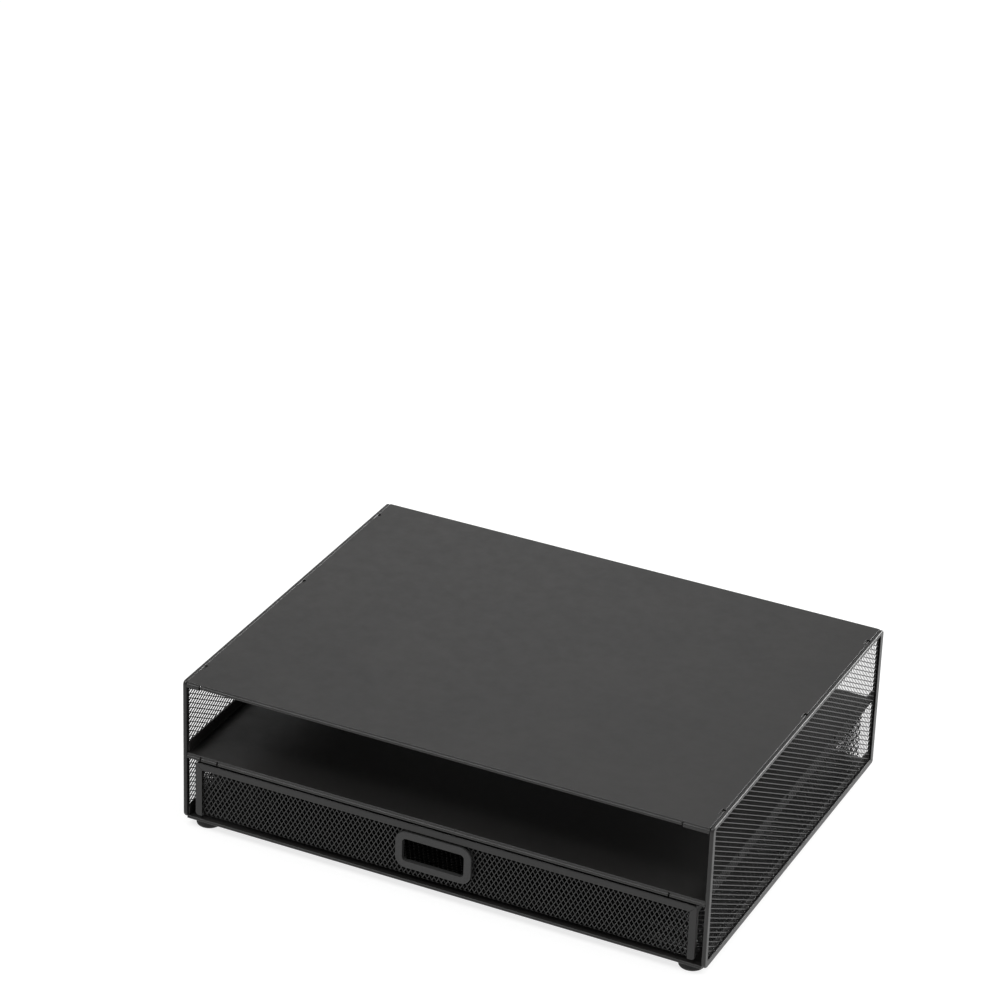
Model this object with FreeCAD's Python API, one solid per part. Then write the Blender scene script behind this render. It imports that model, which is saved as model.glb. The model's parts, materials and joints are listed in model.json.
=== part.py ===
import FreeCAD, Part
import math
import os

# Monitor riser stand: two mesh side frames carry a top panel, an open shelf and a bottom panel, and a
# mesh drawer slides in the lower bay.
# Frame: origin at the centre of the footprint on the ground plane, +Z up, +X along the width, -Y the
# side that the drawer opens to. All lengths are millimetres.

Vector = FreeCAD.Vector
X_AXIS = Vector(1, 0, 0)
Y_AXIS = Vector(0, 1, 0)
Z_AXIS = Vector(0, 0, 1)

# Driving dimensions: the whole stand
WIDTH = 390.0
DEPTH = 300.0
FRAME_HEIGHT = 108.0
FOOT_HEIGHT = 6.0
TOP = FOOT_HEIGHT + FRAME_HEIGHT

# Driving dimensions: sheet metal and expanded mesh
SHEET = 0.8
HEM = 2 * SHEET
MESH = 1.4
FIT = 0.3
LOOSE = 0.2
CUT = 1.0

# Driving dimensions: the folded channel round each side
SIDE_SHEET = 0.75
SIDE_CHANNEL = 2 * SIDE_SHEET + MESH
SIDE_LIP_FRONT = 4.0
SIDE_LIP_BACK = 5.5
SIDE_LIP_BOTTOM = 5.3
SIDE_LIP_TOP = 2.2
SIDE_TOP_RADIUS = 3.0
SIDE_FRONT_RADIUS = 5.0
SIDE_BACK_RADIUS = 2.5
SIDE_EDGE_RADIUS = 1.1
SIDE_SEAM = 0.3
SIDE_SEAM_LENGTH = 20.0
SIDE_INNER_RADIUS = 1.0

# Driving dimensions: panels
PANEL_HALF = WIDTH / 2 - SIDE_CHANNEL
PANEL_SETBACK = 0.85
TOP_FLANGE = 5.0
FRONT_FLANGE = 3.7
END_TAB_DROP = 1.0
BEND = 0.7
HEM_BULGE = 0.8
BOTTOM_BULGE = 0.2
SHELF_TOP = FOOT_HEIGHT + 52.2
SHELF_FLANGE = 4.0
SHELF_UPSTAND = 8.2
BOTTOM_TOP = FOOT_HEIGHT + 2.2
BOTTOM_FLANGE = 2.2
BOTTOM_UPSTAND = 8.4
UPSTAND_CORNER = 4.0
NOTCH_WIDTH = 1.2
TOP_NOTCHES = (-182.0, 173.0)
SHELF_NOTCHES = (-181.5, -168.5, 166.5)
DIMPLE_X = 11.8
DIMPLE_RADIUS = 1.4
DIMPLE_SINK = 0.9

# Driving dimensions: hooks and welds that hold the panels to the side frames
HOOK_PLACES = (-127.0, 12.0, 127.0)
HOOK_SLOT_LENGTH = 7.0
HOOK_SLOT_WIDTH = 2.2
HOOK_LENGTH = 5.0
HOOK_DROP = 0.9
HOOK_PAD = 1.2
HOOK_PAD_MARGIN = 1.0
WELD_PLACES = (-92.0, -8.0, 76.0)
WELD_LENGTH = 8.0
WELD_HEIGHT = 5.0
WELD_LIFT = 3.2
WELD_RADIUS = 1.0

# Driving dimensions: feet
FOOT_X = 181.0
FOOT_Y = 138.0
FOOT_RADIUS = 9.0
FOOT_EDGE = 1.2
FOOT_BORE = 2.0
FOOT_SINK_RADIUS = 4.2
FOOT_SINK_DEPTH = 3.0
RIVET_RADIUS = 1.8
RIVET_HEAD_RADIUS = 3.8
RIVET_HEAD = 1.4
RIVET_FLARE_RADIUS = 3.2
RIVET_FLARE = 0.8

# Driving dimensions: drawer
DRAWER_WIDTH = 372.8
DRAWER_SHIFT = 0.3
DRAWER_FRONT = -DEPTH / 2 + 1.2
DRAWER_BACK = 147.4
DRAWER_BOTTOM = FOOT_HEIGHT + 4.5
DRAWER_TOP = FOOT_HEIGHT + 46.4
RIM = 5.2
RIM_THICK = 2 * SHEET + MESH
DRAWER_CORNER = 2.5
DRAWER_EDGE_RADIUS = 0.7
MESH_BEND = 2.2
MITRE_SEAM = 0.25
MITRE_DEPTH = 0.3
MITRE_INSET = 1.6
DRAWER_TRAVEL = 220.0

# Driving dimensions: drawer pull
PULL_X = -3.8
PULL_Z = FOOT_HEIGHT + 25.8
PULL_WIDTH = 56.6
PULL_HEIGHT = 27.8
PULL_RADIUS = 8.0
HOLE_WIDTH = 46.0
HOLE_HEIGHT = 17.4
HOLE_RADIUS = 3.0
PULL_FRONT = -DEPTH / 2
PULL_EDGE_RADIUS = 0.6
COLLAR = 1.2
BACKING = 1.2
STUD_RADIUS = 1.1
STUD_HEAD_RADIUS = 1.7
STUD_HEAD = 0.5
STUD_Z = 7.5

# Driving dimensions: drawer guides and stops
RUNNER = 1.2
RUNNER_END = 125.0
RUNNER_BASE = 11.0
RUNNER_HEIGHT = 7.0
RUNNER_GAP = 0.5
LUG_THICK = 1.5
LUG_HEIGHT = 3.4
BACK_STOP_X = 120.0
BACK_STOP_WIDTH = 14.0
BACK_STOP_HEIGHT = 11.0
BACK_STOP_FOOT = 8.0

# Places worked out from the dimensions above
PANEL_FRONT = -DEPTH / 2 + PANEL_SETBACK
DRAWER_LEFT = DRAWER_SHIFT - DRAWER_WIDTH / 2
DRAWER_RIGHT = DRAWER_SHIFT + DRAWER_WIDTH / 2
FRONT_MESH_Y = DRAWER_FRONT + SHEET
BACK_MESH_Y = DRAWER_BACK - SHEET - MESH
LEFT_MESH_X = DRAWER_LEFT + SHEET
RIGHT_MESH_X = DRAWER_RIGHT - SHEET - MESH
INNER_LEFT = LEFT_MESH_X + MESH
INNER_RIGHT = RIGHT_MESH_X
CORNERS = tuple((sx, sy) for sy in (-1, 1) for sx in (-1, 1))
TOLERANCE = 0.01


def block(x0, x1, y0, y1, z0, z1):
    """A box between two limits on each axis."""
    return Part.makeBox(x1 - x0, y1 - y0, z1 - z0, Vector(x0, y0, z0))


def disc(radius, x, y, z0, z1):
    """An upright cylinder."""
    return Part.makeCylinder(radius, z1 - z0, Vector(x, y, z0), Z_AXIS)


def join(shapes):
    """One solid from shapes that touch or overlap."""
    return shapes[0].multiFuse(shapes[1:]).removeSplitter()


def join_apart(shapes):
    """Shapes that may stand clear of each other, as one cutting tool."""
    return shapes[0].multiFuse(shapes[1:])


def edges_at(shape, along, **place):
    """Straight edges that run along an axis and whose middle has the given x, y or z."""
    found = []
    for edge in shape.Edges:
        if len(edge.Vertexes) != 2 or edge.Curve.TypeId != "Part::GeomLine":
            continue
        run = edge.Vertexes[1].Point - edge.Vertexes[0].Point
        middle = (edge.Vertexes[0].Point + edge.Vertexes[1].Point) * 0.5
        if run.cross(along).Length > TOLERANCE:
            continue
        if all(abs(getattr(middle, axis) - value) < TOLERANCE for axis, value in place.items()):
            found.append(edge)
    return found


def perimeter_edges(shape, axis, value):
    """Edges that bound the flat faces lying at one value of an axis, outer loop only."""
    found = []
    for face in shape.Faces:
        centre = face.CenterOfMass
        low = getattr(face.BoundBox, axis.upper() + "Min")
        high = getattr(face.BoundBox, axis.upper() + "Max")
        if high - low < TOLERANCE and abs(getattr(centre, axis) - value) < TOLERANCE:
            found.extend(face.OuterWire.Edges)
    return found


def mirror_x(shape):
    """The left-hand twin of a right-hand shape."""
    return shape.mirror(Vector(0, 0, 0), X_AXIS)


def save(node, *solids):
    """Write one node. Several solids stay separate inside it."""
    shape = solids[0] if len(solids) == 1 else Part.makeCompound(list(solids))
    assert shape.isValid(), node
    assert all(solid.Volume > 0 for solid in shape.Solids), node
    assert len(shape.Solids) == len(solids), node
    shape.exportStep("parts/" + node + ".step")


# Side frames ----------------------------------------------------------------------------------------


def side_plate(x0, x1, front_inset, back_inset, bottom_inset, top_inset):
    """A side's outline with its rounded corners, drawn in by an inset on each of its four edges."""
    front = -DEPTH / 2 + front_inset
    back = DEPTH / 2 - back_inset
    low = FOOT_HEIGHT + bottom_inset
    high = TOP - top_inset
    plate = block(x0, x1, front, back, low, high)
    for y, z, radius, inset in (
        (front, high, SIDE_TOP_RADIUS, top_inset),
        (back, high, SIDE_TOP_RADIUS, top_inset),
        (front, low, SIDE_FRONT_RADIUS, bottom_inset),
        (back, low, SIDE_BACK_RADIUS, bottom_inset),
    ):
        corner = edges_at(plate, X_AXIS, y=y, z=z)
        plate = plate.makeFillet(max(radius - inset, SIDE_INNER_RADIUS), corner)
    return plate


def even_side_plate(x0, x1, inset):
    """The same outline with one inset all round."""
    return side_plate(x0, x1, inset, inset, inset, inset)


def side_seam():
    """The slanted gap at the lower back corner, where the two ends of the strip meet."""
    reach = SIDE_SEAM_LENGTH / 2
    seam = block(PANEL_HALF - CUT, WIDTH / 2 + CUT, -reach, reach, -SIDE_SEAM / 2, SIDE_SEAM / 2)
    seam.rotate(Vector(0, 0, 0), X_AXIS, -45)
    seam.translate(Vector(0, DEPTH / 2, FOOT_HEIGHT))
    return seam


def side_frame():
    """The right-hand frame: one strip folded to a channel that opens inwards and holds the mesh."""
    outer = even_side_plate(PANEL_HALF, WIDTH / 2, 0)
    rounded = perimeter_edges(outer, "x", WIDTH / 2) + perimeter_edges(outer, "x", PANEL_HALF)
    outer = outer.makeFillet(SIDE_EDGE_RADIUS, rounded)
    lips = (SIDE_LIP_FRONT, SIDE_LIP_BACK, SIDE_LIP_BOTTOM, SIDE_LIP_TOP)
    window = side_plate(PANEL_HALF - CUT, WIDTH / 2 + CUT, *lips)
    groove = even_side_plate(PANEL_HALF + SIDE_SHEET, WIDTH / 2 - SIDE_SHEET, SIDE_SHEET)
    return outer.cut(window).cut(groove).cut(side_seam())


def side_mesh():
    """The right-hand mesh panel, as the closed sheet that its strands fill."""
    return even_side_plate(PANEL_HALF + SIDE_SHEET, WIDTH / 2 - SIDE_SHEET, SIDE_SHEET + LOOSE)


# Panels ---------------------------------------------------------------------------------------------


def notch(x, top, drop):
    """The narrow relief slit across a front flange."""
    half = NOTCH_WIDTH / 2
    front = PANEL_FRONT - CUT
    return block(x - half, x + half, front, PANEL_FRONT + HEM + CUT, top - drop - CUT, top - BEND)


def hem(x0, x1, side, top, drop, bulge):
    """One flange turned down and doubled back on itself, so that its lower edge is a thicker roll.

    side is -1 for the front flange and 1 for the back one.
    """
    roll = (HEM + bulge) / 2
    outer = -side * PANEL_FRONT
    inner = outer - side * HEM
    wall = block(x0, x1, min(outer, inner), max(outer, inner), top - drop + roll, top)
    start = Vector(x0, inner + side * roll, top - drop + roll)
    return [wall, Part.makeCylinder(roll, x1 - x0, start, X_AXIS)]


def hemmed_plate(top, drop, bulge):
    """A flat sheet with a hemmed flange turned down along its front and back."""
    sheet = block(-PANEL_HALF, PANEL_HALF, PANEL_FRONT, -PANEL_FRONT, top - SHEET, top)
    front_wall, front_roll = hem(-PANEL_HALF, PANEL_HALF, -1, top, drop, bulge)
    back_wall, back_roll = hem(-PANEL_HALF, PANEL_HALF, 1, top, drop, bulge)
    plate = join([sheet, front_wall, back_wall])
    for y in (PANEL_FRONT, -PANEL_FRONT):
        plate = plate.makeFillet(BEND, edges_at(plate, X_AXIS, y=y, z=top))
    return join([plate, front_roll, back_roll])


def upstands(top, height):
    """The two side flanges turned up from a panel, with rounded ends."""
    reach = -PANEL_FRONT - HEM
    flanges = []
    for side in (-1, 1):
        outer = side * PANEL_HALF
        inner = side * (PANEL_HALF - SHEET)
        flange = block(min(outer, inner), max(outer, inner), -reach, reach, top - SHEET, top + height)
        for y in (-reach, reach):
            flange = flange.makeFillet(UPSTAND_CORNER, edges_at(flange, X_AXIS, y=y, z=top + height))
        flanges.append(flange)
    return flanges


def top_panel():
    """The panel that the monitor stands on, with down-turned flanges on all four sides."""
    panel = hemmed_plate(TOP, FRONT_FLANGE, HEM_BULGE)
    reach = -PANEL_FRONT - HEM
    flanges = []
    for side in (-1, 1):
        outer = side * PANEL_HALF
        inner = side * (PANEL_HALF - SHEET)
        flanges.append(block(min(outer, inner), max(outer, inner), -reach, reach, TOP - TOP_FLANGE, TOP))
    panel = join([panel] + flanges)
    for side in (-1, 1):
        panel = panel.makeFillet(BEND / 2, edges_at(panel, Y_AXIS, x=side * PANEL_HALF, z=TOP))
    panel = join([panel] + end_tabs())
    for x in TOP_NOTCHES:
        panel = panel.cut(notch(x, TOP, FRONT_FLANGE))
    for side in (-1, 1):
        for y in HOOK_PLACES:
            panel = panel.cut(hook_slot(side, y))
    return panel


def end_tabs():
    """The ends of the front flange, beyond its slits, which reach a little lower than the rest."""
    tabs = []
    for x0, x1 in ((-PANEL_HALF, TOP_NOTCHES[0]), (TOP_NOTCHES[1], PANEL_HALF)):
        tabs.extend(hem(x0, x1, -1, TOP - BEND, FRONT_FLANGE + END_TAB_DROP - BEND, HEM_BULGE))
    return tabs


def hook_slot(side, y):
    """The slot through the top panel's side bend that one hook of a side frame lies in."""
    outer = side * (PANEL_HALF + CUT)
    inner = side * (PANEL_HALF - HOOK_SLOT_WIDTH)
    half = HOOK_SLOT_LENGTH / 2
    low = TOP - TOP_FLANGE - CUT
    return block(min(outer, inner), max(outer, inner), y - half, y + half, low, TOP + CUT)


def top_hook(y):
    """A right-hand hook: a tab that lies in its slot, and a wider pad that bears on the sheet from below."""
    half = HOOK_LENGTH / 2
    inner = PANEL_HALF - HOOK_SLOT_WIDTH + FIT
    tab = block(inner, PANEL_HALF, y - half, y + half, TOP - TOP_FLANGE, TOP - HOOK_DROP)
    half = HOOK_SLOT_LENGTH / 2 + HOOK_PAD_MARGIN
    inner = PANEL_HALF - HOOK_SLOT_WIDTH - HOOK_PAD_MARGIN
    high = TOP - SHEET
    pad = block(inner, PANEL_HALF - SHEET, y - half, y + half, high - HOOK_PAD, high)
    return join([tab, pad])


def top_hooks():
    """The six hooks that are fixed to the side frames and hold the top panel down."""
    right = [top_hook(y) for y in HOOK_PLACES]
    return right + [mirror_x(hook) for hook in right]


def centring_dimple():
    """A small round boss pressed out at the middle of the shelf's front edge."""
    middle = Vector(DIMPLE_X, PANEL_FRONT + DIMPLE_SINK, SHELF_TOP - DIMPLE_SINK)
    return Part.makeSphere(DIMPLE_RADIUS, middle)


def shelf_panel():
    """The open shelf, which is also the roof of the drawer bay."""
    plate = hemmed_plate(SHELF_TOP, SHELF_FLANGE, HEM_BULGE)
    panel = join([plate, centring_dimple()] + upstands(SHELF_TOP, SHELF_UPSTAND))
    for x in SHELF_NOTCHES:
        panel = panel.cut(notch(x, SHELF_TOP, SHELF_FLANGE))
    return panel


def side_welds(base):
    """Six raised weld pads between a panel's upstands and the side meshes."""
    pads = []
    for side in (-1, 1):
        inner = side * PANEL_HALF
        outer = side * (PANEL_HALF + SIDE_SHEET)
        for y in WELD_PLACES:
            low = base + WELD_LIFT
            half = WELD_LENGTH / 2
            pad = block(min(inner, outer), max(inner, outer), y - half, y + half, low, low + WELD_HEIGHT)
            pads.append(pad.makeFillet(WELD_RADIUS, edges_at(pad, X_AXIS)))
    return pads


def bottom_panel():
    """The solid floor of the drawer bay, with holes for the foot rivets."""
    plate = hemmed_plate(BOTTOM_TOP, BOTTOM_FLANGE, BOTTOM_BULGE)
    panel = join([plate] + upstands(BOTTOM_TOP, BOTTOM_UPSTAND))
    for sx, sy in CORNERS:
        panel = panel.cut(disc(FOOT_BORE, sx * FOOT_X, sy * FOOT_Y, 0, TOP))
    return panel


# Feet -----------------------------------------------------------------------------------------------


def foot(sx, sy):
    """A round rubber foot with a sunk hole for its rivet."""
    x = sx * FOOT_X
    y = sy * FOOT_Y
    body = disc(FOOT_RADIUS, x, y, 0, BOTTOM_TOP - SHEET)
    lower_rim = [edge for edge in body.Edges if edge.BoundBox.ZMax < TOLERANCE]
    body = body.makeFillet(FOOT_EDGE, lower_rim)
    body = body.cut(disc(FOOT_BORE, x, y, 0, TOP))
    return body.cut(disc(FOOT_SINK_RADIUS, x, y, 0, FOOT_SINK_DEPTH))


def foot_rivet(sx, sy):
    """The rivet through one foot: a flat head below, a shank, and a flare above the bottom panel."""
    x = sx * FOOT_X
    y = sy * FOOT_Y
    head = disc(RIVET_HEAD_RADIUS, x, y, FOOT_SINK_DEPTH - RIVET_HEAD, FOOT_SINK_DEPTH)
    shank = disc(RIVET_RADIUS, x, y, FOOT_SINK_DEPTH - RIVET_HEAD, BOTTOM_TOP + RIVET_FLARE)
    flare = disc(RIVET_FLARE_RADIUS, x, y, BOTTOM_TOP, BOTTOM_TOP + RIVET_FLARE)
    return join([head, shank, flare])


# Drawer guides and stops ----------------------------------------------------------------------------


def runner(side):
    """An angle strip that carries one edge of the drawer and keeps it straight."""
    face = DRAWER_RIGHT + RUNNER_GAP if side > 0 else DRAWER_LEFT - RUNNER_GAP
    outer = face + side * RUNNER
    inner = outer - side * RUNNER_BASE
    seat = DRAWER_BOTTOM - FIT
    crest = BOTTOM_TOP + RUNNER_HEIGHT
    base = block(min(outer, inner), max(outer, inner), -RUNNER_END, RUNNER_END, BOTTOM_TOP, seat)
    leg = block(min(outer, face), max(outer, face), -RUNNER_END, RUNNER_END, BOTTOM_TOP, crest)
    return join([base, leg])


def back_stops():
    """Two small angles on the bottom panel that stop the closed drawer, with their feet below it."""
    stops = []
    face = DRAWER_BACK + FIT
    half = BACK_STOP_WIDTH / 2
    for side in (-1, 1):
        x0 = side * BACK_STOP_X - half
        x1 = side * BACK_STOP_X + half
        leg = block(x0, x1, face, face + SHEET, BOTTOM_TOP, BOTTOM_TOP + BACK_STOP_HEIGHT)
        base = block(x0, x1, face - BACK_STOP_FOOT, face, BOTTOM_TOP, BOTTOM_TOP + SHEET)
        stops.append(join([leg, base]))
    return stops


def stop_lugs():
    """A lug on each side rim that meets the shelf's front flange when the drawer is fully out."""
    face = PANEL_FRONT + HEM + FIT + DRAWER_TRAVEL
    lugs = []
    for x0, x1 in ((DRAWER_LEFT, DRAWER_LEFT + RIM_THICK), (DRAWER_RIGHT - RIM_THICK, DRAWER_RIGHT)):
        lugs.append(block(x0, x1, face, face + LUG_THICK, DRAWER_TOP, DRAWER_TOP + LUG_HEIGHT))
    return lugs


# Drawer ---------------------------------------------------------------------------------------------


def mitre_seam(side):
    """The slanted seam across a top corner of the drawer's front border, a shallow groove."""
    corner = DRAWER_RIGHT if side > 0 else DRAWER_LEFT
    half = MITRE_SEAM / 2
    start = MITRE_INSET * math.sqrt(2)
    end = RIM * math.sqrt(2) - half
    seam = block(start, end, DRAWER_FRONT - CUT, DRAWER_FRONT + MITRE_DEPTH, -half, half)
    seam.rotate(Vector(0, 0, 0), Y_AXIS, 135 if side > 0 else 45)
    seam.translate(Vector(corner, 0, DRAWER_TOP))
    return seam


def front_border():
    """The channel round the top, left and right of the drawer front."""
    back = DRAWER_FRONT + RIM_THICK
    outer = block(DRAWER_LEFT, DRAWER_RIGHT, DRAWER_FRONT, back, DRAWER_BOTTOM, DRAWER_TOP)
    corners = edges_at(outer, Y_AXIS)
    outer = outer.makeFillet(DRAWER_CORNER, corners)
    outer = outer.makeFillet(DRAWER_EDGE_RADIUS, perimeter_edges(outer, "y", DRAWER_FRONT))
    low = DRAWER_BOTTOM - CUT
    window = block(
        DRAWER_LEFT + RIM, DRAWER_RIGHT - RIM, DRAWER_FRONT - CUT, back + CUT, low, DRAWER_TOP - RIM
    )
    groove = block(
        LEFT_MESH_X, RIGHT_MESH_X + MESH, FRONT_MESH_Y, FRONT_MESH_Y + MESH, low, DRAWER_TOP - SHEET
    )
    border = outer.cut(window).cut(groove)
    for side in (-1, 1):
        border = border.cut(mitre_seam(side))
    return border


def quarter_bend(x0, x1, centre_y, facing):
    """A quarter turn of mesh between a wall and the floor; facing is -1 in front and 1 at the back."""
    centre_z = DRAWER_BOTTOM + MESH_BEND
    start = Vector(x0, centre_y, centre_z)
    outer = Part.makeCylinder(MESH_BEND, x1 - x0, start, X_AXIS)
    inner = Part.makeCylinder(MESH_BEND - MESH, x1 - x0, start, X_AXIS)
    far_y = centre_y + facing * MESH_BEND
    corner = block(x0, x1, min(centre_y, far_y), max(centre_y, far_y), DRAWER_BOTTOM, centre_z)
    return outer.cut(inner).common(corner)


def rounded_block(width, height, radius, y0, y1):
    """A plate round the middle of the drawer pull, with rounded corners."""
    x0 = PULL_X - width / 2
    z0 = PULL_Z - height / 2
    plate = block(x0, x0 + width, y0, y1, z0, z0 + height)
    return plate.makeFillet(radius, edges_at(plate, Y_AXIS))


def stud_places():
    """The four places round the pull where studs pass through the mesh."""
    reach = (HOLE_WIDTH / 2 + COLLAR + PULL_WIDTH / 2) / 2
    return [(PULL_X + sx * reach, PULL_Z + sz * STUD_Z) for sx, sz in CORNERS]


def stud(radius, y0, y1, x, z):
    """A round pin along Y."""
    return Part.makeCylinder(radius, y1 - y0, Vector(x, y0, z), Y_AXIS)


def pull_cutout(y0, y1):
    """What the collar and the studs need in whatever they pass through."""
    grow = 2 * (COLLAR + LOOSE)
    hole = rounded_block(HOLE_WIDTH + grow, HOLE_HEIGHT + grow, HOLE_RADIUS + COLLAR, y0, y1)
    return join_apart([hole] + [stud(STUD_RADIUS + LOOSE, y0, y1, x, z) for x, z in stud_places()])


def front_mesh():
    """The front wall's mesh: it turns under at the bottom and is cut away behind the pull."""
    wall_y = FRONT_MESH_Y + MESH
    bend_top = DRAWER_BOTTOM + MESH_BEND
    wall = block(LEFT_MESH_X, RIGHT_MESH_X + MESH, FRONT_MESH_Y, wall_y, bend_top, DRAWER_TOP - SHEET)
    turn = quarter_bend(DRAWER_LEFT + RIM, DRAWER_RIGHT - RIM, FRONT_MESH_Y + MESH_BEND, -1)
    return join([wall, turn]).cut(pull_cutout(FRONT_MESH_Y - CUT, wall_y + CUT))


def back_mesh():
    """The back wall's mesh, which turns under in the same way."""
    bend_top = DRAWER_BOTTOM + MESH_BEND
    high = DRAWER_TOP - SHEET
    wall = block(LEFT_MESH_X, RIGHT_MESH_X + MESH, BACK_MESH_Y, BACK_MESH_Y + MESH, bend_top, high)
    turn = quarter_bend(INNER_LEFT, INNER_RIGHT, BACK_MESH_Y + MESH - MESH_BEND, 1)
    return join([wall, turn])


def floor_mesh():
    """The drawer's mesh floor, between the two bends."""
    y0 = FRONT_MESH_Y + MESH_BEND
    y1 = BACK_MESH_Y + MESH - MESH_BEND
    return block(INNER_LEFT, INNER_RIGHT, y0, y1, DRAWER_BOTTOM, DRAWER_BOTTOM + MESH)


def side_wall(mesh_x):
    """A side wall's mesh, from the front border to the back wall."""
    y0 = DRAWER_FRONT + RIM_THICK
    return block(mesh_x, mesh_x + MESH, y0, BACK_MESH_Y, DRAWER_BOTTOM, DRAWER_TOP - SHEET)


def side_rim(x0):
    """The channel over the top edge of a side wall."""
    y0 = DRAWER_FRONT + RIM_THICK
    y1 = DRAWER_BACK - RIM_THICK
    strip = block(x0, x0 + RIM_THICK, y0, y1, DRAWER_TOP - RIM, DRAWER_TOP)
    for x in (x0, x0 + RIM_THICK):
        strip = strip.makeFillet(DRAWER_EDGE_RADIUS, edges_at(strip, Y_AXIS, x=x, z=DRAWER_TOP))
    inside = x0 + SHEET
    return strip.cut(block(inside, inside + MESH, y0, y1, DRAWER_TOP - RIM, DRAWER_TOP - SHEET))


def back_rim():
    """The channel over the top edge of the back wall."""
    y0 = DRAWER_BACK - RIM_THICK
    strip = block(DRAWER_LEFT, DRAWER_RIGHT, y0, DRAWER_BACK, DRAWER_TOP - RIM, DRAWER_TOP)
    for y in (y0, DRAWER_BACK):
        strip = strip.makeFillet(DRAWER_EDGE_RADIUS, edges_at(strip, X_AXIS, y=y, z=DRAWER_TOP))
    low = DRAWER_TOP - RIM
    high = DRAWER_TOP - SHEET
    groove = block(LEFT_MESH_X, RIGHT_MESH_X + MESH, BACK_MESH_Y, BACK_MESH_Y + MESH, low, high)
    slots = [block(x, x + MESH, y0, BACK_MESH_Y, low, high) for x in (LEFT_MESH_X, RIGHT_MESH_X)]
    return strip.cut(join([groove] + slots))


def pull_bezel():
    """The front ring of the finger pull, with a collar that lines the hole."""
    ring = rounded_block(PULL_WIDTH, PULL_HEIGHT, PULL_RADIUS, PULL_FRONT, FRONT_MESH_Y)
    ring = ring.makeFillet(PULL_EDGE_RADIUS, perimeter_edges(ring, "y", PULL_FRONT))
    grow = 2 * COLLAR
    back = FRONT_MESH_Y + MESH
    collar = rounded_block(
        HOLE_WIDTH + grow, HOLE_HEIGHT + grow, HOLE_RADIUS + COLLAR, FRONT_MESH_Y, back
    )
    hole = rounded_block(HOLE_WIDTH, HOLE_HEIGHT, HOLE_RADIUS, PULL_FRONT - CUT, back + CUT)
    return join([ring, collar]).cut(hole)


def pull_backing():
    """The ring behind the mesh that clamps the finger pull."""
    y0 = FRONT_MESH_Y + MESH
    ring = rounded_block(PULL_WIDTH, PULL_HEIGHT, PULL_RADIUS, y0, y0 + BACKING)
    return ring.cut(pull_cutout(y0 - CUT, y0 + BACKING + CUT))


def pull_studs():
    """Four studs that hold the bezel and its backing ring together."""
    back = FRONT_MESH_Y + MESH + BACKING
    studs = []
    for x, z in stud_places():
        pin = stud(STUD_RADIUS, FRONT_MESH_Y, back + STUD_HEAD, x, z)
        head = stud(STUD_HEAD_RADIUS, back, back + STUD_HEAD, x, z)
        studs.append(join([pin, head]))
    return studs


def write_cabinet():
    """Every piece that stands still."""
    save("top_panel", top_panel())
    save("right_side_frame", side_frame())
    save("left_side_frame", mirror_x(side_frame()))
    save("right_side_mesh", side_mesh())
    save("left_side_mesh", mirror_x(side_mesh()))
    save("shelf_panel", shelf_panel())
    save("bottom_panel", bottom_panel())
    save("top_panel_hooks", *top_hooks())
    save("shelf_weld_pads", *side_welds(SHELF_TOP))
    save("bottom_weld_pads", *side_welds(BOTTOM_TOP))
    save("left_drawer_runner", runner(-1))
    save("right_drawer_runner", runner(1))
    save("drawer_back_stops", *back_stops())
    for sx, sy in CORNERS:
        name = ("front_" if sy < 0 else "back_") + ("left_" if sx < 0 else "right_")
        save(name + "foot", foot(sx, sy))
    save("foot_rivets", *[foot_rivet(sx, sy) for sx, sy in CORNERS])


def write_drawer():
    """Every piece that slides out with the drawer."""
    save("drawer_front_border", front_border())
    save("drawer_front_mesh", front_mesh())
    save("drawer_back_mesh", back_mesh())
    save("drawer_floor_mesh", floor_mesh())
    save("drawer_left_mesh", side_wall(LEFT_MESH_X))
    save("drawer_right_mesh", side_wall(RIGHT_MESH_X))
    save("drawer_left_rim", side_rim(DRAWER_LEFT))
    save("drawer_right_rim", side_rim(DRAWER_RIGHT - RIM_THICK))
    save("drawer_back_rim", back_rim())
    save("drawer_stop_lugs", *stop_lugs())
    save("pull_bezel", pull_bezel())
    save("pull_backing_ring", pull_backing())
    save("pull_studs", *pull_studs())


os.makedirs("parts", exist_ok=True)
write_cabinet()
write_drawer()
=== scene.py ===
import json
import math

import bmesh
import bpy
import numpy as np
from mathutils import Matrix, Vector


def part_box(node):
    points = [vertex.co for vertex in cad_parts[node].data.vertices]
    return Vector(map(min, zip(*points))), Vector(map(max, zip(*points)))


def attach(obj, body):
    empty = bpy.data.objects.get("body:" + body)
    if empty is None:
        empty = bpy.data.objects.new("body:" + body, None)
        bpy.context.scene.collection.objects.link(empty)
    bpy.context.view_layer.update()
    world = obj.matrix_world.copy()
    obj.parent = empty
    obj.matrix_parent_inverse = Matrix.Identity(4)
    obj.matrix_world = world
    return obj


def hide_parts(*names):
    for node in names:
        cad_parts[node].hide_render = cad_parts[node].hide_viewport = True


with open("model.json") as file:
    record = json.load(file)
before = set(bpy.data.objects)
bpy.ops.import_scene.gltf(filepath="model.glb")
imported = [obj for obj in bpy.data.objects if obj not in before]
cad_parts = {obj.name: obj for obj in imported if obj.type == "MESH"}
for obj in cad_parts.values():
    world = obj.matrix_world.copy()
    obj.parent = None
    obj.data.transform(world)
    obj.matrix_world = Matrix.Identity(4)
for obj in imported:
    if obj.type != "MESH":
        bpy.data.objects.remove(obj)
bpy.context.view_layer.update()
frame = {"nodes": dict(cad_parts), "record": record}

# The stand stands on z = 0 with the middle of its footprint at the origin. +X is its width and -Y the side
# that the drawer opens to. All lengths are metres.
MM = 0.001

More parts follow.
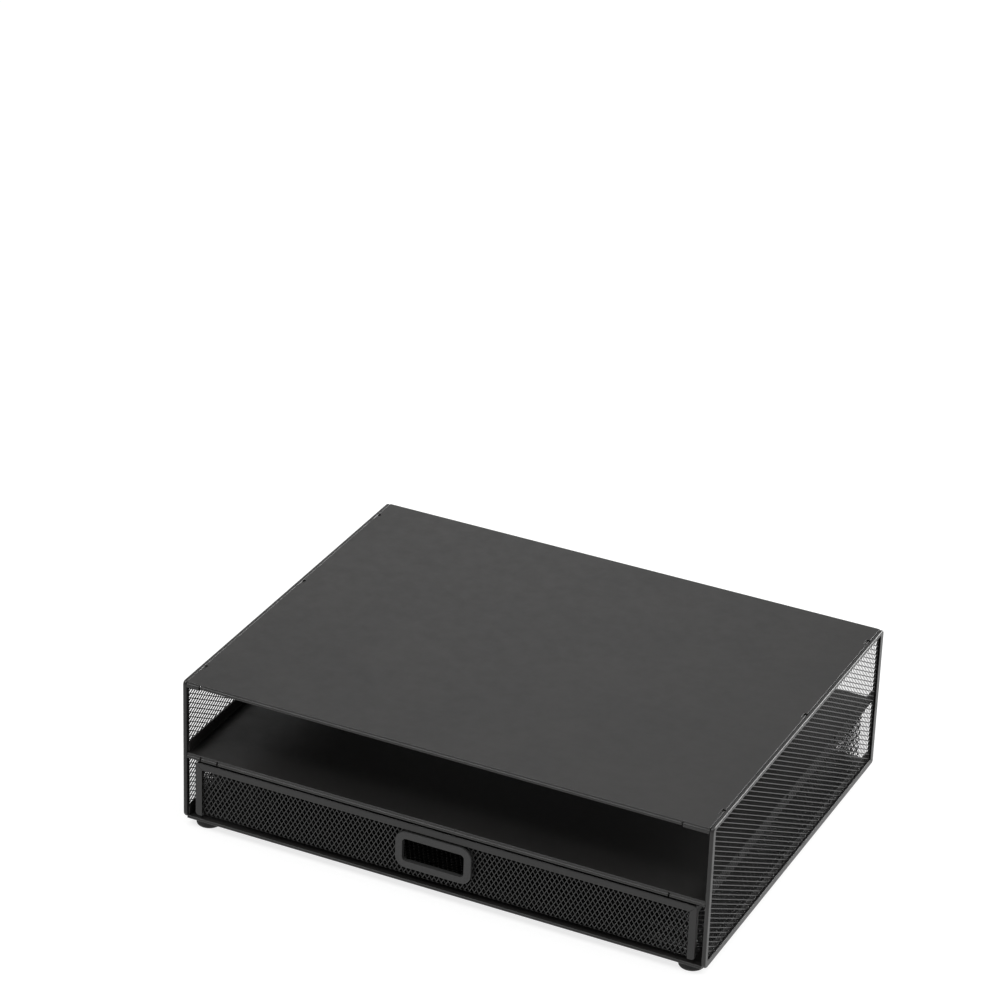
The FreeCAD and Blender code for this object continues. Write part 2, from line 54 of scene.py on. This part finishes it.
# Camera: where it looks from, how far it is, and how the stand sits in its frame
CAMERA_AZIMUTH = 25.123
CAMERA_ELEVATION = 27.351
CAMERA_ROLL = 2.018
CAMERA_DISTANCE = 2.82219
CAMERA_LENS = 145.64
CAMERA_RIGHT = -0.02362
CAMERA_UP = 0.20185
FOOT_HEIGHT = 6 * MM

# Expanded metal: one diamond's long and short pitch, and the strand between two bonds
LONG_PITCH = 6.0 * MM
SHORT_PITCH = 3.52 * MM
STRAND_WIDTH = 0.62 * MM
STRAND_THICKNESS = 0.42 * MM
# The cabinet's side sheets have larger diamonds, and rounded corners inside their frames
CABINET_LONG_PITCH = 6.3 * MM
CABINET_SHORT_PITCH = 3.66 * MM
CABINET_CORNER = 3 * MM
# The side sheets of the cabinet and the drawer are a little thicker
SIDE_THICKNESS = 0.45 * MM
# How far the strands lean out of the sheet and how far their section turns with it, as slopes
SIDE_TILT = 0.72
SIDE_TURN = 0.2
TRAY_TILT = 0.7
TRAY_TURN = 0.7
# The strands stop this far outside the opening of the pull, where its collar is
COLLAR = 3.2 * MM
# How far the bonds stay inside the ends and the top edges of the drawer's one strip of mesh
STRIP_END_MARGIN = 0.3 * MM
STRIP_TOP_MARGIN = 0.5 * MM
# A bond that lies on the edge of a sheet counts as inside it
EDGE_SLACK = 0.1 * MM

# Studio
FLOOR_REACH = 6.0
WORLD_STRENGTH = 0.34


# Materials ------------------------------------------------------------------------------------------


class Surface:
    """A node material under construction, with the object's own coordinates as its texture space."""

    def __init__(self, name, **constants):
        self.material = bpy.data.materials.new(name)
        self.material.use_nodes = True
        self.tree = self.material.node_tree
        self.shader = self.tree.nodes["Principled BSDF"]
        self.place = self.tree.nodes.new("ShaderNodeTexCoord").outputs["Object"]
        for socket, value in constants.items():
            self.shader.inputs[socket.replace("_", " ")].default_value = value

    def link(self, value, socket):
        """Feed a socket from another socket, or set it to a constant."""
        if isinstance(value, bpy.types.NodeSocket):
            self.tree.links.new(value, socket)
        else:
            socket.default_value = value

    def noise(self, size, detail=2.0, rough=0.5):
        """Noise whose features are about size metres across."""
        node = self.tree.nodes.new("ShaderNodeTexNoise")
        node.inputs["Scale"].default_value = 1.0 / size
        node.inputs["Detail"].default_value = detail
        node.inputs["Roughness"].default_value = rough
        self.link(self.place, node.inputs["Vector"])
        return node.outputs["Fac"]

    def cells(self, size):
        """Distance to scattered points that are about size metres apart."""
        node = self.tree.nodes.new("ShaderNodeTexVoronoi")
        node.inputs["Scale"].default_value = 1.0 / size
        self.link(self.place, node.inputs["Vector"])
        return node.outputs["Distance"]

    def span(self, value, low, high, out_low, out_high):
        """Map a range of values to another range, clamped."""
        node = self.tree.nodes.new("ShaderNodeMapRange")
        for socket, number in zip(node.inputs[1:5], (low, high, out_low, out_high)):
            socket.default_value = number
        self.link(value, node.inputs["Value"])
        return node.outputs["Result"]

    def combine(self, operation, first, second):
        """One arithmetic step."""
        node = self.tree.nodes.new("ShaderNodeMath")
        node.operation = operation
        self.link(first, node.inputs[0])
        self.link(second, node.inputs[1])
        return node.outputs["Value"]

    def mix(self, factor, first, second):
        """Blend two colours."""
        node = self.tree.nodes.new("ShaderNodeMix")
        node.data_type = "RGBA"
        self.link(factor, node.inputs["Factor"])
        self.link(first, node.inputs[6])
        self.link(second, node.inputs[7])
        return node.outputs[2]

    def bump(self, height, distance, strength=1.0, normal=None):
        """Raise the surface by a height map."""
        node = self.tree.nodes.new("ShaderNodeBump")
        node.inputs["Strength"].default_value = strength
        node.inputs["Distance"].default_value = distance
        self.link(height, node.inputs["Height"])
        if normal is not None:
            self.link(normal, node.inputs["Normal"])
        return node.outputs["Normal"]

    def rounded(self, radius):
        """The normal of the surface with its sharp edges softened."""
        node = self.tree.nodes.new("ShaderNodeBevel")
        node.samples = 4
        node.inputs["Radius"].default_value = radius
        return node.outputs["Normal"]

    def edges(self, normal):
        """A mask that is 1 where a softened normal leaves the true one, so along the edges."""
        true = self.tree.nodes.new("ShaderNodeNewGeometry").outputs["Normal"]
        node = self.tree.nodes.new("ShaderNodeVectorMath")
        node.operation = "DOT_PRODUCT"
        self.link(normal, node.inputs[0])
        self.link(true, node.inputs[1])
        return self.span(node.outputs["Value"], 0.75, 0.99, 1.0, 0.0)

    def finish(self, colour, roughness, normal):
        """Connect the finish to the shader."""
        self.link(colour, self.shader.inputs["Base Color"])
        self.link(roughness, self.shader.inputs["Roughness"])
        self.link(normal, self.shader.inputs["Normal"])
        return self.material


def grey(value, warmth=0.0):
    """A near neutral colour."""
    return (value * (1 + warmth), value, value * (1 - warmth), 1.0)


def powder_coat(name, shade, smooth, coarse, peel):
    """Satin powder coat on steel: fine orange peel, drifting gloss, and lighter edges, partly rubbed wear
    and partly a painted highlight along the bends.
    """
    surface = Surface(name, Specular_IOR_Level=0.42)
    soft = surface.rounded(0.35 * MM)
    # edge mask: partly rubbed wear, partly where a highlight is painted along the bends
    wear_and_highlight = surface.combine("MULTIPLY", surface.edges(soft), surface.noise(6 * MM, 4.0, 0.7))
    drift = surface.span(surface.noise(45 * MM, 3.0), 0.3, 0.7, 0.0, 1.0)
    body = surface.mix(drift, grey(shade * 0.9, 0.03), grey(shade * 1.1, 0.05))
    speck = surface.span(surface.cells(1.1 * MM), 0.0, 0.16, 0.45, 0.0)
    body = surface.mix(speck, body, grey(shade * 1.8, 0.02))
    # the light edge colour is partly rubbed wear and partly a painted highlight standing in for the bright
    # lines that light draws on the bends
    colour = surface.mix(wear_and_highlight, body, grey(shade * 6.0, 0.03))
    gloss = surface.span(surface.noise(9 * MM, 5.0, 0.6), 0.25, 0.75, smooth, coarse)
    rough = surface.combine("SUBTRACT", gloss, surface.combine("MULTIPLY", wear_and_highlight, 0.1))
    fine = surface.bump(surface.noise(0.55 * MM, 2.0), peel, 0.55, soft)
    waves = surface.bump(surface.noise(3.2 * MM, 1.0), peel * 2.2, 0.5, fine)
    return surface.finish(colour, rough, waves)


def strand_coat():
    """The same coat on the strands, thicker at the bonds, with no room for long waves."""
    surface = Surface("mesh_powder_coat", Specular_IOR_Level=0.42)
    drift = surface.span(surface.noise(18 * MM, 3.0), 0.3, 0.7, 0.0, 1.0)
    colour = surface.mix(drift, grey(0.009, 0.01), grey(0.014, 0.02))
    rough = surface.span(surface.noise(1.6 * MM, 3.0), 0.3, 0.7, 0.28, 0.42)
    normal = surface.bump(surface.noise(0.4 * MM, 2.0), 0.012 * MM, 0.5, surface.rounded(0.12 * MM))
    return surface.finish(colour, rough, normal)


def moulded_plastic():
    """Fine spark-eroded plastic, dull, with slightly polished rims."""
    surface = Surface("moulded_pull_plastic", Specular_IOR_Level=0.45)
    soft = surface.rounded(0.25 * MM)
    rub = surface.combine("MULTIPLY", surface.edges(soft), surface.noise(5 * MM, 3.0, 0.6))
    body = surface.mix(surface.noise(20 * MM, 2.0), grey(0.022), grey(0.028, 0.01))
    colour = surface.mix(rub, body, grey(0.045, 0.01))
    rough = surface.span(surface.noise(1.2 * MM, 4.0), 0.3, 0.7, 0.5, 0.66)
    grain = surface.bump(surface.cells(0.32 * MM), 0.02 * MM, 0.6, soft)
    return surface.finish(colour, rough, grain)


def rubber():
    """Matte black rubber with a trace of dust towards the ground."""
    surface = Surface("foot_black_rubber", Specular_IOR_Level=0.3)
    height = surface.tree.nodes.new("ShaderNodeSeparateXYZ")
    surface.link(surface.place, height.inputs["Vector"])
    low = surface.span(height.outputs["Z"], 0.0, 2.5 * MM, 0.55, 0.0)
    dust = surface.combine("MULTIPLY", low, surface.noise(2.5 * MM, 5.0, 0.7))
    colour = surface.mix(dust, grey(0.012), grey(0.09, 0.04))
    rough = surface.span(surface.noise(1.5 * MM, 3.0), 0.3, 0.7, 0.68, 0.86)
    normal = surface.bump(surface.noise(0.5 * MM, 3.0), 0.03 * MM, 0.6)
    return surface.finish(colour, rough, normal)


def blackened_steel():
    """Blackened rivet steel with fine turned scratches."""
    surface = Surface("rivet_blackened_steel", Metallic=0.8, Specular_IOR_Level=0.5)
    drift = surface.noise(1.4 * MM, 4.0, 0.6)
    colour = surface.mix(drift, grey(0.04), grey(0.11, 0.03))
    rough = surface.span(drift, 0.3, 0.7, 0.34, 0.52)
    normal = surface.bump(surface.noise(0.3 * MM, 2.0), 0.01 * MM, 0.5)
    return surface.finish(colour, rough, normal)


def studio_floor():
    """A matte pale grey that also glows, so that it is white but throws little light back at the stand."""
    surface = Surface("studio_light_table", Specular_IOR_Level=0.2, Emission_Strength=0.78)
    surface.link(grey(1.0), surface.shader.inputs["Emission Color"])
    colour = surface.mix(surface.noise(0.8, 2.0), grey(0.25), grey(0.27))
    rough = surface.span(surface.noise(0.05, 3.0), 0.3, 0.7, 0.75, 0.85)
    normal = surface.bump(surface.noise(0.004, 2.0), 0.02 * MM, 0.2)
    return surface.finish(colour, rough, normal)


FINISHES = {
    "panel_coat": powder_coat("panel_powder_coat", 0.012, 0.36, 0.46, 0.02 * MM),
    "frame_coat": powder_coat("frame_powder_coat", 0.009, 0.32, 0.42, 0.02 * MM),
    "mesh_coat": strand_coat(),
    "pull_plastic": moulded_plastic(),
    "foot_rubber": rubber(),
    "rivet_steel": blackened_steel(),
}


def finish_cad_nodes():
    """Give every CAD node that stays on show its procedural finish, slot by slot."""
    for node in frame["nodes"].values():
        for place in node.material_slots:
            place.material = FINISHES[place.material.name.split(".")[0]]


# Expanded metal -------------------------------------------------------------------------------------


def strand_sheet(name, inside, place, tilt, turn, steps=1, across=SHORT_PITCH, along=LONG_PITCH,
                 thickness=STRAND_THICKNESS, limits=((-1, 1), (-1, 1))):
    """Expanded metal as real strands.

    A bond is a small rhombus. Strands run from it to the bonds half a diamond further along and half a
    diamond to either side. Every bond and strand leans the same way, as slit and stretched sheet does.
    inside(p, s) says whether the flat sheet has a bond at p across and s along its diamonds' long way,
    place(p, s, n) puts points of the flat sheet in space, n being the height above its middle, tilt and
    turn are slopes that say how the strands lean, and steps is how many straight lengths each has.
    """
    half_across = across / 2
    half_along = along / 2
    slant = math.hypot(half_across, half_along)
    tip_along = STRAND_WIDTH * slant / (2 * half_across)
    tip_across = STRAND_WIDTH * slant / (2 * half_along)
    (p_low, p_high), (s_low, s_high) = limits
    columns = np.arange(math.floor(p_low / half_across), math.ceil(p_high / half_across) + 1)
    rows = np.arange(math.floor(s_low / half_along), math.ceil(s_high / half_along) + 1)
    i, j = (grid.ravel() for grid in np.meshgrid(columns, rows, indexing="ij"))
    even = (i + j) % 2 == 0
    i, j = i[even], j[even]
    keep = inside(i * half_across, j * half_along)
    i, j = i[keep], j[keep]
    index = {pair: n for n, pair in enumerate(zip(i.tolist(), j.tolist()))}

    tips = np.array([(0, tip_along, 0), (tip_across, 0, tilt * tip_across),
                     (0, -tip_along, 0), (-tip_across, 0, -tilt * tip_across)])
    middles = np.stack([i * half_across, j * half_along, np.zeros(len(i))], axis=1)
    bonds = middles[:, None, :] + tips[None, :, :]
    thick = np.array([-turn, 0, 1]) / math.hypot(turn, 1) * thickness / 2
    flat = [np.stack([bonds + thick, bonds - thick], axis=2).reshape(-1, 3)]

    def corner(bond, tip, below):
        return 8 * bond + 2 * tip + below

    faces = []
    count = 8 * len(i)
    for bond in range(len(i)):
        faces.append(tuple(corner(bond, tip, 0) for tip in (0, 3, 2, 1)))
        faces.append(tuple(corner(bond, tip, 1) for tip in (0, 1, 2, 3)))
    # a strand towards +p joins tips 0 and 1 of its first bond to tips 3 and 2 of its second
    joined = set()
    for side, start, end in ((1, (0, 1), (3, 2)), (-1, (3, 0), (2, 1))):
        for (column, row), first in index.items():
            second = index.get((column + side, row + 1))
            if second is None:
                continue
            joined.add((first, start))
            joined.add((second, tuple(sorted(end))))
            rings = [[corner(first, start[0], 0), corner(first, start[1], 0),
                      corner(first, start[1], 1), corner(first, start[0], 1)]]
            last = [corner(second, end[0], 0), corner(second, end[1], 0),
                    corner(second, end[1], 1), corner(second, end[0], 1)]
            for step in range(1, steps):
                share = step / steps
                near = flat[0][rings[0]]
                far = flat[0][last]
                flat.append(near + (far - near) * share)
                rings.append([count, count + 1, count + 2, count + 3])
                count += 4
            rings.append(last)
            for a, b in zip(rings, rings[1:]):
                for k in range(4):
                    m = (k + 1) % 4
                    faces.append((a[k], a[m], b[m], b[k]))
    # close the bond sides that no strand leaves from
    for bond in range(len(i)):
        for start in ((0, 1), (1, 2), (2, 3), (3, 0)):
            if (bond, start) in joined or (bond, tuple(sorted(start))) in joined:
                continue
            faces.append((corner(bond, start[0], 0), corner(bond, start[1], 0),
                          corner(bond, start[1], 1), corner(bond, start[0], 1)))

    points = np.concatenate(flat)
    mesh = bpy.data.meshes.new(name)
    mesh.from_pydata(place(points[:, 0], points[:, 1], points[:, 2]).tolist(), [], faces)
    face_outwards(mesh)
    piece = bpy.data.objects.new(name, mesh)
    bpy.context.scene.collection.objects.link(piece)
    mesh.materials.append(FINISHES["mesh_coat"])
    return piece


def face_outwards(mesh):
    """Face the whole mesh outwards."""
    work = bmesh.new()
    work.from_mesh(mesh)
    bmesh.ops.recalc_face_normals(work, faces=work.faces)
    work.to_mesh(mesh)
    work.free()


def rounded_outline(y0, y1, z0, z1, radius):
    """Whether points lie inside a rounded rectangle."""
    def inside(y, z):
        dy = np.maximum(np.maximum(y0 + radius - y, y - y1 + radius), 0)
        dz = np.maximum(np.maximum(z0 + radius - z, z - z1 + radius), 0)
        return np.hypot(dy, dz) <= radius
    return inside


def side_strands(node, piece_name):
    """One side of the cabinet: diamonds lie down, along the depth."""
    low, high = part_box(node)
    facing = 1 if low.x > 0 else -1
    middle = (low.x + high.x) / 2
    outline = rounded_outline(low.y, high.y, low.z, high.z, CABINET_CORNER)

    def place(p, s, n):
        return np.stack([middle + facing * n, s, p], axis=1)

    piece = strand_sheet(
        piece_name, lambda p, s: outline(s, p), place, SIDE_TILT, SIDE_TURN, thickness=SIDE_THICKNESS,
        across=CABINET_SHORT_PITCH, along=CABINET_LONG_PITCH, limits=((low.z, high.z), (low.y, high.y)),
    )
    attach(piece, "cabinet")
    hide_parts(node)


def drawer_side_strands(node, piece_name):
    """One side wall of the drawer. Its lowest row of bonds lies in the floor's sheet."""
    low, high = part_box(node)
    floor_low, floor_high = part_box("drawer_floor_mesh")
    middle = (low.x + high.x) / 2
    facing = 1 if low.x > 0 else -1
    foot = (floor_low.z + floor_high.z) / 2
    height = high.z - foot

    def inside(p, s):
        return (p > -EDGE_SLACK) & (p < height) & (s > low.y) & (s < high.y)

    def place(p, s, n):
        return np.stack([middle + facing * n, s, foot + p], axis=1)

    piece = strand_sheet(
        piece_name, inside, place, SIDE_TILT, SIDE_TURN, thickness=SIDE_THICKNESS,
        limits=((0, height), (low.y, high.y)),
    )
    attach(piece, "drawer")
    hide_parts(node)


def finger_hole():
    """The box of the pull's opening."""
    openings = frame["record"]["physics"]["openings"]
    low, high = next(place["box_m"] for place in openings if place["name"] == "finger_hole")
    return Vector(low), Vector(high)


def drawer_tray_strands():
    """The front wall, floor and back wall: one strip of mesh that turns up at both ends."""
    front_low, front_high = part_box("drawer_front_mesh")
    floor_low, floor_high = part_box("drawer_floor_mesh")
    turn = floor_low.y - front_low.y
    sheet = floor_high.z - floor_low.z
    radius = turn - sheet / 2
    quarter = radius * math.pi / 2
    top = front_high.z
    bend_z = floor_low.z + turn
    wall = top - bend_z
    run = floor_high.y - floor_low.y
    marks = np.cumsum([wall, quarter, run, quarter, wall])

    def place(p, s, n):
        s = np.clip(s, 0, marks[-1])
        y = np.empty_like(s)
        z = np.empty_like(s)
        part = np.minimum(np.searchsorted(marks, s), 4)
        first = np.array([0, *marks[:-1]])[part]
        r = s - first
        reach = radius + n
        angle = r / radius
        front_y, back_y = floor_low.y, floor_high.y
        choices = [
            (front_y - reach, top - r),
            (front_y - reach * np.cos(angle), bend_z - reach * np.sin(angle)),
            (front_y + r, bend_z - reach),
            (back_y + reach * np.sin(angle), bend_z - reach * np.cos(angle)),
            (back_y + reach, bend_z + r),
        ]
        for k, (py, pz) in enumerate(choices):
            here = part == k
            y[here] = py[here] if np.ndim(py) else py
            z[here] = pz[here] if np.ndim(pz) else pz
        return np.stack([p, y, z], axis=1)

    hole_low, hole_high = finger_hole()

    def pull_hole(p, s):
        z = top - s
        across = (p > hole_low.x - COLLAR) & (p < hole_high.x + COLLAR)
        return across & (z > hole_low.z - COLLAR) & (z < hole_high.z + COLLAR)

    def strip(first, last, low_x, high_x):
        def inside(p, s):
            return (s >= first) & (s < last) & (p > low_x) & (p < high_x) & ~pull_hole(p, s)
        return inside

    # each piece runs on to the next row of bonds, so that the strands join at both bends
    front_end = marks[1]
    floor_end = marks[2]
    row = LONG_PITCH / 2
    for name, node, first, last, steps in (
        ("drawer_front_strands", "drawer_front_mesh", STRIP_TOP_MARGIN, front_end + row, 3),
        ("drawer_floor_strands", "drawer_floor_mesh", front_end, floor_end + row, 2),
        ("drawer_back_strands", "drawer_back_mesh", floor_end, marks[4] - STRIP_TOP_MARGIN, 3),
    ):
        inside = strip(first, last, front_low.x + STRIP_END_MARGIN, front_high.x - STRIP_END_MARGIN)
        piece = strand_sheet(
            name, inside, place, TRAY_TILT, TRAY_TURN, steps=steps,
            limits=((front_low.x, front_high.x), (first, last)),
        )
        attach(piece, "drawer")
        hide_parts(node)


# Studio ---------------------------------------------------------------------------------------------


def make_floor():
    """A wide pale floor."""
    mesh = bpy.data.meshes.new("studio_floor")
    corners = [(x * FLOOR_REACH, y * FLOOR_REACH, 0) for x, y in ((-1, -1), (1, -1), (1, 1), (-1, 1))]
    mesh.from_pydata(corners, [], [(0, 1, 2, 3)])
    floor = bpy.data.objects.new("studio_floor", mesh)
    bpy.context.scene.collection.objects.link(floor)
    mesh.materials.append(studio_floor())


def make_camera():
    """The main camera, in front of the stand, to its right and above, with a slight roll."""
    azimuth = math.radians(CAMERA_AZIMUTH)
    elevation = math.radians(CAMERA_ELEVATION)
    roll = math.radians(CAMERA_ROLL)
    back = Vector((
        math.sin(azimuth) * math.cos(elevation),
        -math.cos(azimuth) * math.cos(elevation),
        math.sin(elevation),
    ))
    level = Vector((math.cos(azimuth), math.sin(azimuth), 0))
    above = back.cross(level)
    right = math.cos(roll) * level + math.sin(roll) * above
    up = math.cos(roll) * above - math.sin(roll) * level
    data = bpy.data.cameras.new("main_camera")
    data.lens = CAMERA_LENS
    data.sensor_width = 36.0
    data.clip_start = 0.05
    data.clip_end = 50.0
    camera = bpy.data.objects.new("main_camera", data)
    place = Matrix((right, up, back)).transposed().to_4x4()
    place.translation = back * CAMERA_DISTANCE + right * CAMERA_RIGHT + up * CAMERA_UP
    place.translation.z += FOOT_HEIGHT
    camera.matrix_world = place
    bpy.context.scene.collection.objects.link(camera)
    bpy.context.scene.camera = camera


def softbox(name, place, target, width, height, power):
    """A rectangular area light that faces a point."""
    data = bpy.data.lights.new(name, "AREA")
    data.shape = "RECTANGLE"
    data.size = width
    data.size_y = height
    data.energy = power
    light = bpy.data.objects.new(name, data)
    light.location = place
    light.rotation_euler = (Vector(target) - Vector(place)).to_track_quat("-Z", "Y").to_euler()
    bpy.context.scene.collection.objects.link(light)


def make_lights():
    """Soft studio light: a pale room and five softboxes. The rear right one draws the right-hand edges."""
    world = bpy.data.worlds.new("studio")
    world.use_nodes = True
    background = world.node_tree.nodes["Background"]
    background.inputs["Color"].default_value = (1.0, 1.0, 1.0, 1.0)
    background.inputs["Strength"].default_value = WORLD_STRENGTH
    bpy.context.scene.world = world
    softbox("overhead_light", (-0.2, 0.1, 2.4), (0, 0, 0), 2.2, 2.2, 22)
    softbox("back_left_light", (-0.95, 1.9, 1.1), (0, 0, 0.1), 1.0, 0.7, 2)
    softbox("back_right_light", (1.25, 2.1, 1.05), (0.1, 0, 0.05), 1.0, 0.8, 64)
    softbox("upper_right_light", (1.35, -0.3, 2.0), (0.1, 0, 0.05), 0.9, 0.9, 14)
    softbox("front_left_light", (-0.9, -1.1, 2.0), (0, -0.1, 0.05), 0.6, 0.6, 22)
    bpy.context.scene.view_settings.view_transform = "Standard"


finish_cad_nodes()
side_strands("left_side_mesh", "left_side_strands")
side_strands("right_side_mesh", "right_side_strands")
drawer_side_strands("drawer_left_mesh", "drawer_left_strands")
drawer_side_strands("drawer_right_mesh", "drawer_right_strands")
drawer_tray_strands()
make_floor()
make_camera()
make_lights()
